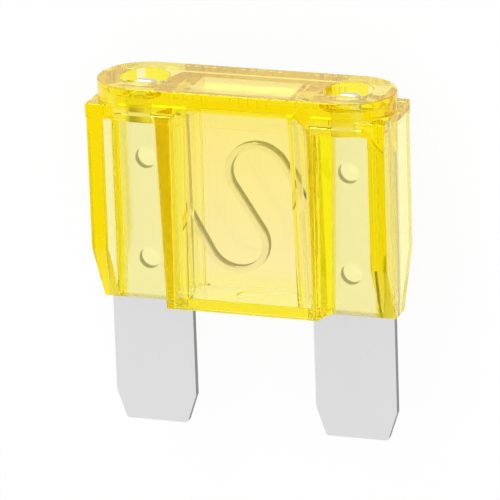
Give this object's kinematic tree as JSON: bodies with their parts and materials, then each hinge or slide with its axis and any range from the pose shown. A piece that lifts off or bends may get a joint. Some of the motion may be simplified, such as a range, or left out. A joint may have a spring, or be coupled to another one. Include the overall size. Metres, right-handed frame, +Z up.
{
  "type": "automotive blade fuse",
  "caption": "Large plug-in blade fuse: a clear yellow housing around a stamped zinc element with flat blades, an S-shaped melting link and probe tabs.",
  "frame": {"origin": "under the middle of the outline, on the surface that the fuse lies on", "axes": "+X across the two blades, +Y from the blade tips to the cap, +Z up out of the front pane"},
  "size_m": [0.0292, 0.0342, 0.0089],
  "materials": {
    "clear_yellow_plastic": "polished, clear",
    "zinc": "satin, stamped"
  },
  "bodies": {
    "root": {"housing": "clear_yellow_plastic", "fuse_element": "zinc", "closing_plate": "clear_yellow_plastic"}
  },
  "joints": []
}
